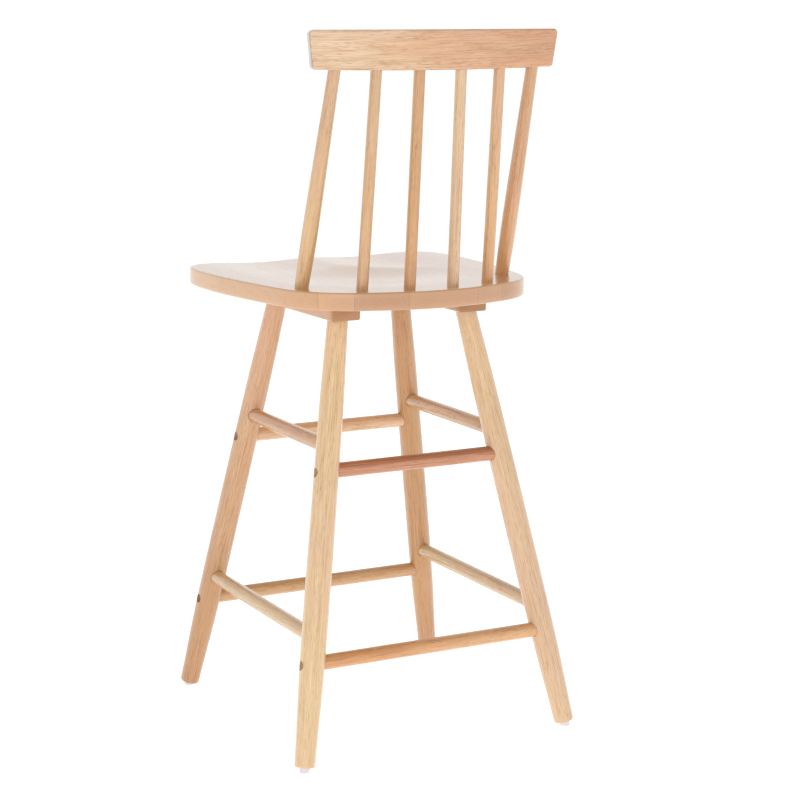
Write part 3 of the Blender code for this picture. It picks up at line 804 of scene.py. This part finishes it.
def build_battens():
    length = leg_length()
    for side_name, side in SIDES.items():
        label = "batten_" + side_name
        reach = BATTEN_LENGTH / 2
        stations = [(away - reach, inset) for away, inset in BATTEN_ENDS]
        straight = reach - BATTEN_ENDS[-1][0]
        stations += [(straight * (2 * i / BATTEN_STEPS - 1), 0.0) for i in range(1, BATTEN_STEPS)]
        stations += [(reach - away, inset) for away, inset in reversed(BATTEN_ENDS)]
        rings = [batten_ring(LEG_CENTRE_Y + y, inset, side * BATTEN_X) for y, inset in stations]
        cutters = []
        for end in ENDS.values():
            hole = socket("leg_socket", LEG_PROFILE[-1][1] + GAP, length - 0.060, length + GAP, 64)
            cutters.append((hole, leg_frame(side, end)))
            spot = (side * BATTEN_X, LEG_CENTRE_Y + end * SEAT_BOLT_Y, BATTEN_BOTTOM)
            recess = socket("bolt_recess", COUNTERBORE_R, -0.010, SEAT_HEAD_RECESS)
            cutters.append((recess, Matrix.Translation(spot)))
        mesh = cut(lofted(label, rings), cutters)
        mesh.name = label + "_wood"
        places = [(v.co.x - side * BATTEN_X, v.co.z - BATTEN_BOTTOM, v.co.y) for v in mesh.vertices]
        set_grain(mesh, LOOKS[label]["seed"], places)
        # The rounded edges and ends are lightened in the shader: wear, and a painted highlight on the
        # roundings.
        near = BATTEN_WIDTH / 2 - 0.0030
        wear_and_highlight = []
        for vertex in mesh.vertices:
            edge_x = abs(abs(vertex.co.x) - BATTEN_X) > near
            edge_y = abs(vertex.co.y - LEG_CENTRE_Y) > reach - 0.0016
            wear_and_highlight.append(1.0 if (edge_x and vertex.co.z < BATTEN_BOTTOM + 0.003) or edge_y else 0.0)
        set_attribute(mesh, "wear_and_highlight", "FLOAT", wear_and_highlight)
        add_wood(mesh, label)


# ---------------------------------------------------------------- seat


def seat_outline(steps=18):
    """The whole outline, anticlockwise from the front centre."""
    half = []
    for a, b, c, d in SEAT_OUTLINE:
        a, b, c, d = Vector(a), Vector(b), Vector(c), Vector(d)
        for i in range(steps):
            t = i / steps
            s = 1 - t
            half.append(s**3 * a + 3 * s * s * t * b + 3 * s * t * t * c + t**3 * d)
    half.append(Vector(SEAT_OUTLINE[-1][3]))
    other = [Vector((-p.x, p.y)) for p in reversed(half[1:-1])]
    return half + other


def seat_dish(x, y):
    """How far the top lies below the rim."""
    reach = ((x - BOWL_CENTRE[0]) / BOWL_REACH[0]) ** 2 + ((y - BOWL_CENTRE[1]) / BOWL_REACH[1]) ** 2
    bowl = BOWL_DEPTH * ease(1.0 - reach**0.5)
    across = ease(1.0 - abs(abs(x) - THIGH_X) / (1.6 * THIGH_WIDTH))
    forward = ease((0.060 - y) / 0.190)
    thigh = THIGH_DEPTH * across * forward
    # A soft maximum, so that the two hollows run into each other without a crease
    deeper = 0.5 * (bowl + thigh + sqrt((bowl - thigh) ** 2 + HOLLOW_BLEND**2))
    return deeper - 0.5 * HOLLOW_BLEND * (1.0 - ease(40.0 * (bowl + thigh) / BOWL_DEPTH))


def inward(points):
    """Unit vectors into the outline, square to it."""
    count = len(points)
    made = []
    for i in range(count):
        run = (points[(i + 1) % count] - points[i - 1]).normalized()
        made.append(Vector((-run.y, run.x)))
    return made


def build_seat():
    outline = seat_outline()
    inside = inward(outline)
    centre = Vector(SEAT_CENTRE)
    flat_rim = SEAT_TOP - SEAT_ROUND

    def ring(inset, height=None, drop=0.0):
        made = []
        for point, way in zip(outline, inside):
            p = point + way * inset
            z = height if height is not None else SEAT_TOP - drop - seat_dish(p.x, p.y)
            made.append((p.x, p.y, z))
        return made

    # The rings of the roundings are lightened in the shader: wear, and a painted highlight.
    rings, wear_and_highlight = [], []
    for share in (0.35, 0.75):
        spots = [centre + (p - centre) * share for p in outline]
        rings.append([(p.x, p.y, SEAT_BOTTOM) for p in spots])
        wear_and_highlight.append(0.0)
    for away, up in reversed(corner(SEAT_ROUND, 5)):
        rings.append(ring(away, SEAT_BOTTOM + up))
        wear_and_highlight.append(1.0)
    for share in (0.33, 0.67):
        rings.append(ring(0.0, SEAT_BOTTOM + SEAT_ROUND + (flat_rim - SEAT_BOTTOM - SEAT_ROUND) * share))
        wear_and_highlight.append(0.0)
    for away, down in corner(SEAT_ROUND, 6):
        rings.append(ring(away, None, down))
        wear_and_highlight.append(1.0)
    rim = [p + way * SEAT_ROUND for p, way in zip(outline, inside)]
    steps = 44
    for i in range(1, steps):
        spots = [centre + (p - centre) * (1 - i / steps) for p in rim]
        rings.append([(p.x, p.y, SEAT_TOP - seat_dish(p.x, p.y)) for p in spots])
        wear_and_highlight.append(0.0)
    mesh = lofted("seat_wood", rings, 50.0)
    places = [(v.co.x, v.co.z - SEAT_TOP, v.co.y) for v in mesh.vertices]
    set_grain(mesh, LOOKS["seat"]["seed"], places, HEARTS["seat"])
    set_attribute(mesh, "wear_and_highlight", "FLOAT", [value for value in wear_and_highlight for _ in outline])
    add_wood(mesh, "seat")


# ---------------------------------------------------------------- back


def rail_point(turn, across, up):
    """A point of the rail: angle round the bow, offset through it, height in it."""
    radius = RAIL_BOW_R + across + up * tan(RAIL_LEAN)
    y = RAIL_MID_Y - RAIL_BOW_R + radius * cos(turn)
    return (radius * sin(turn), y, RAIL_BOTTOM + up)


def drawn_in(away, radius):
    """How far a rounding of this radius has drawn in, this far from the end."""
    if away >= radius:
        return 0.0
    return radius - sqrt(max(0.0, radius**2 - (radius - away) ** 2))


def rail_ring(share, away):
    """(points, grain places) round the rail, away from its end by this much."""
    half = RAIL_THICKNESS / 2 - drawn_in(away, RAIL_ROUND * 0.9)
    low = drawn_in(away, RAIL_LOW_CORNER)
    high = RAIL_HEIGHT - drawn_in(away, RAIL_TOP_CORNER)
    section = []
    r = RAIL_ROUND
    corners = ((half - r, high - r), (r - half, high - r), (r - half, low + r), (half - r, low + r))
    for quarter, (across, up) in enumerate(corners):
        turns = [pi / 2 * (quarter + i / 5) for i in range(6)]
        section += [(across + r * cos(a), up + r * sin(a)) for a in turns]
        if quarter == 1:  # down the front face
            section += [(-half, high - r + (low + 2 * r - high) * i / 6) for i in range(1, 6)]
        if quarter == 3:  # up the rear face
            section += [(half, low + r + (high - 2 * r - low) * i / 6) for i in range(1, 6)]
    points, places = [], []
    for across, up in section:
        reach = RAIL_HALF_BOTTOM + (RAIL_HALF_TOP - RAIL_HALF_BOTTOM) * up / RAIL_HEIGHT
        turn = share * asin(reach / RAIL_BOW_R)
        lift = RAIL_BELLY * share * share * (1 - up / RAIL_HEIGHT)
        points.append(rail_point(turn, across, up + lift))
        places.append((across, up, share * reach))
    return points, places


def build_crest_rail():
    """The rail's ends are drawn in to round their corners, so stations crowd there."""
    near = [RAIL_TOP_CORNER * (1 - cos(pi / 2 * i / 9)) for i in range(10)]
    half = (RAIL_HALF_BOTTOM + RAIL_HALF_TOP) / 2
    spots = [(-1 + e / half, e) for e in near]
    inner = 1 - near[-1] / half
    spots += [(-inner + 2 * inner * i / 70, 1.0) for i in range(1, 70)]
    spots += [(1 - e / half, e) for e in reversed(near)]
    rings, grain = [], []
    for share, away in spots:
        points, places = rail_ring(share, away)
        rings.append(points)
        grain += places
    mesh = lofted("crest_rail_wood", rings, 50.0)
    set_grain(mesh, LOOKS["crest_rail"]["seed"], grain, HEARTS["crest_rail"])
    # The rounded edges are lightened in the shader: wear, and a painted highlight on the roundings.
    wear_and_highlight = []
    for across, up, _ in grain:
        edge = max(abs(across) / (RAIL_THICKNESS / 2), abs(up / RAIL_HEIGHT - 0.5) * 2)
        wear_and_highlight.append(ease((edge - 0.94) / 0.06))
    set_attribute(mesh, "wear_and_highlight", "FLOAT", wear_and_highlight)
    add_wood(mesh, "crest_rail")


def add_back_member(label, foot, head, profile):
    """A post or spindle from its seat socket into the rail."""
    start = Vector((*foot, SEAT_TOP))
    finish = Vector((*head, RAIL_BOTTOM))
    span = (finish - start).length
    low, high = -SEAT_SOCKET_DEPTH, span + HEAD_IN_RAIL
    steps = 60
    points = []
    for i in range(steps + 1):
        height = low + (high - low) * i / steps
        points.append((smooth_curve(profile, height / span), height))
    mesh = turned(label + "_wood", points, 40)
    set_grain(mesh, LOOKS[label]["seed"])
    add_wood(mesh, label, along(start, finish - start))


def build_back():
    build_crest_rail()
    for side_name, side in SIDES.items():
        foot = (side * POST_FOOT[0], POST_FOOT[1])
        head = (side * POST_HEAD[0], POST_HEAD[1])
        add_back_member("post_" + side_name, foot, head, POST_PROFILE)
    spots = ((1, 1), (0, 1), (0, -1), (1, -1))  # from the sitter's left to the right
    for number, (pair, side) in enumerate(spots, 1):
        foot = (side * SPINDLE_FEET[pair][0], SPINDLE_FEET[pair][1])
        head = (side * SPINDLE_HEADS[pair][0], SPINDLE_HEADS[pair][1])
        add_back_member("spindle_" + str(number), foot, head, SPINDLE_PROFILE)


# ---------------------------------------------------------------- hardware


def bolt_mesh(name, length):
    """A button-head bolt on Z, its underside at 0, with a threaded end and a hex recess."""
    height = THREAD_PITCH - length
    profile = [(BOLT_R - 0.0012, -length), (BOLT_R - 0.0008, -length), (BOLT_R, height)]
    while height < -length * 0.45:
        profile += [(BOLT_R - THREAD_DEPTH, height + THREAD_PITCH / 2), (BOLT_R, height + THREAD_PITCH)]
        height += THREAD_PITCH
    profile += [(BOLT_R, 0.0), (HEAD_R - 0.0002, 0.0), (HEAD_R, 0.0003), (HEAD_R, HEAD_HEIGHT * 0.45)]
    for i in range(1, 8):
        a = pi / 2 * i / 8
        reach = HEAD_R - (HEAD_R * 0.38) * (1 - cos(a))
        profile.append((reach, HEAD_HEIGHT * (0.45 + 0.55 * sin(a))))
    profile += [(HEAD_R * 0.58, HEAD_HEIGHT), (HEX_R * 0.9, HEAD_HEIGHT)]
    hexagon = socket(name + "_hex", HEX_R, HEAD_HEIGHT - HEX_DEPTH, HEAD_HEIGHT + 0.002, 6)
    return cut(turned(name, profile, 32), [(hexagon, Matrix.Identity(4))], 30.0)


def build_bolts():
    """The bolts of the stretchers and the seat; returns their steel."""
    steel = metal("steel_finish", STEEL_COLOUR, 0.42, 900.0)
    for level, height in (("upper", UPPER_CROSS_Z), ("lower", LOWER_CROSS_Z)):
        for end_name, end in ENDS.items():
            for side_name, side in SIDES.items():
                label = "bolt_" + level + "_" + end_name + "_" + side_name
                axis = leg_axis(1, end, height)
                head = (side * (axis.x + COUNTERBORE_STOP + GAP), axis.y, axis.z)
                mesh = bolt_mesh(label + "_steel", BOLT_LENGTH)
                add_piece(mesh, [label], steel, along(head, (side, 0, 0)))
    for end_name, end in ENDS.items():
        for side_name, side in SIDES.items():
            label = "seat_bolt_" + end_name + "_" + side_name
            spot = (
                side * BATTEN_X,
                LEG_CENTRE_Y + end * SEAT_BOLT_Y,
                BATTEN_BOTTOM + SEAT_HEAD_RECESS - GAP,
            )
            mesh = bolt_mesh(label + "_steel", SEAT_BOLT_LENGTH)
            add_piece(mesh, [label], steel, along(spot, (0, 0, -1)))
    return steel


def glide_pad(name, matrix):
    """A round pad under a leg, cut level with the floor, its top recessed for the nail."""
    recess = -GAP - GLIDE_RECESS_DEPTH
    profile = [(GLIDE_R - END_LIP, -GLIDE_HEIGHT), (GLIDE_R, -GLIDE_HEIGHT), (GLIDE_R, -GAP - 0.0020)]
    profile += [(GLIDE_R - away, -GAP - down) for away, down in corner(GLIDE_ROUND, 4)]
    profile += [(GLIDE_RECESS_R + 0.0002, -GAP), (GLIDE_RECESS_R, -GAP - 0.0002)]
    profile += [(GLIDE_RECESS_R, recess), (GLIDE_RECESS_R - 0.002, recess)]
    mesh = turned(name, profile, 40)
    shape = bmesh.new()
    shape.from_mesh(mesh)
    back = matrix.inverted()
    cut_off = bmesh.ops.bisect_plane(
        shape,
        geom=shape.verts[:] + shape.edges[:] + shape.faces[:],
        plane_co=back @ Vector((matrix.translation.x, matrix.translation.y, 0.0)),
        plane_no=(back.to_3x3() @ Vector((0, 0, 1))).normalized(),
        clear_inner=True,
    )
    edges = [e for e in cut_off["geom_cut"] if isinstance(e, bmesh.types.BMEdge)]
    bmesh.ops.edgenet_fill(shape, edges=edges)
    shape.to_mesh(mesh)
    shape.free()
    mesh.set_sharp_from_angle(angle=radians(35.0))
    return mesh


def glide_nail(name):
    low = -GLIDE_RECESS_DEPTH
    top = low + NAIL_HEAD_HEIGHT
    profile = (
        (NAIL_HEAD_R * 0.4, low),
        (NAIL_HEAD_R * 0.85, low + 0.0001),
        (NAIL_HEAD_R, low + 0.0005),
        (NAIL_HEAD_R, top - 0.0001),
        (NAIL_R, top),
        (NAIL_R, NAIL_LENGTH - 0.0025),
        (0.0002, NAIL_LENGTH),
    )
    return turned(name, profile, 28)


def build_glides(steel):
    plastic = moulded_plastic("glide_finish", rgb(*GLIDE_COLOUR))
    for side_name, side in SIDES.items():
        for end_name, end in ENDS.items():
            label = end_name + "_" + side_name
            matrix = leg_frame(side, end)
            pad = glide_pad("glide_" + label + "_pad", matrix)
            add_piece(pad, ["glide_" + label], plastic, matrix)
            nail = glide_nail("glide_nail_" + label + "_steel")
            add_piece(nail, ["glide_nail_" + label], steel, matrix)


def finish_hidden_hardware():
    """The threaded inserts keep their CAD shape and get a finished brass."""
    brass = metal("brass_finish", BRASS_COLOUR, 0.36, 1100.0)
    for name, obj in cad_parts.items():
        if "insert" in name:
            obj.data.materials.clear()
            obj.data.materials.append(brass)


# ---------------------------------------------------------------- stage


def build_floor():
    """A white acrylic table that glows a little, so that it shows no shadow edge."""
    shape = bmesh.new()
    bmesh.ops.create_circle(shape, cap_ends=True, segments=96, radius=TABLE_R)
    table = bpy.data.objects.new("floor", mesh_of("floor", shape))
    bpy.context.scene.collection.objects.link(table)
    tree = Tree("floor_acrylic")
    place = tree.add("ShaderNodeTexCoord", {}, "Object")
    fine = tree.noise(place, (60.0, 60.0, 60.0), 3.0)
    colour = tree.ramp(fine, opaque(((0.3, 0.84), (0.7, 0.86))))
    glow = {"Emission_Color": (1.0, 1.0, 1.0, 1.0), "Emission_Strength": TABLE_GLOW}
    table.data.materials.append(tree.finish(colour, 0.9, Specular_IOR_Level=0.1, **glow))


def build_world():
    """White round the horizon, fading to the darker ceiling."""
    world = bpy.data.worlds.new("studio")
    bpy.context.scene.world = world
    world.use_nodes = True
    nodes, links = world.node_tree.nodes, world.node_tree.links
    direction = nodes.new("ShaderNodeTexCoord")
    height = nodes.new("ShaderNodeSeparateXYZ")
    fade = nodes.new("ShaderNodeValToRGB")
    links.new(direction.outputs["Generated"], height.inputs[0])
    links.new(height.outputs["Z"], fade.inputs[0])
    fade.color_ramp.interpolation = "EASE"
    low, high = fade.color_ramp.elements
    low.position, low.color = WHITE_UP_TO, (1.0, 1.0, 1.0, 1.0)
    high.position, high.color = DARK_FROM, (OVERHEAD_SHARE,) * 3 + (1.0,)
    sky = nodes["Background"]
    links.new(fade.outputs[0], sky.inputs["Color"])
    sky.inputs["Strength"].default_value = WORLD_STRENGTH


def build_lamp():
    lamp = bpy.data.lights.new("key", "AREA")
    lamp.shape = "RECTANGLE"
    lamp.size, lamp.size_y = LAMP_SIZE
    lamp.energy, lamp.color = LAMP_WATTS, LAMP_COLOUR
    obj = bpy.data.objects.new("key", lamp)
    bpy.context.scene.collection.objects.link(obj)
    obj.matrix_world = along(LAMP_PLACE, Vector(LAMP_PLACE) - Vector(LAMP_AIM))
    obj.visible_camera = False


def build_camera():
    back = Vector(
        (
            sin(CAMERA_YAW) * cos(CAMERA_PITCH),
            cos(CAMERA_YAW) * cos(CAMERA_PITCH),
            sin(CAMERA_PITCH),
        )
    )
    right = (-back).cross(Vector((0, 0, 1))).normalized()
    up = right.cross(-back)
    turned_right = right * cos(CAMERA_ROLL) + up * sin(CAMERA_ROLL)
    turned_up = up * cos(CAMERA_ROLL) - right * sin(CAMERA_ROLL)
    data = bpy.data.cameras.new("camera")
    data.lens, data.sensor_width = CAMERA_LENS, SENSOR
    data.clip_start, data.clip_end = 0.05, 50.0
    camera = bpy.data.objects.new("camera", data)
    bpy.context.scene.collection.objects.link(camera)
    axes = Matrix((turned_right, turned_up, back)).transposed().to_4x4()
    camera.matrix_world = Matrix.Translation(CAMERA_PLACE) @ axes
    bpy.context.scene.camera = camera
    view = bpy.context.scene.view_settings
    view.view_transform, view.look = "Standard", "None"


build_camera()
build_floor()
build_world()
build_lamp()
build_legs()
build_stretchers()
build_battens()
build_seat()
build_back()
build_glides(build_bolts())
finish_hidden_hardware()
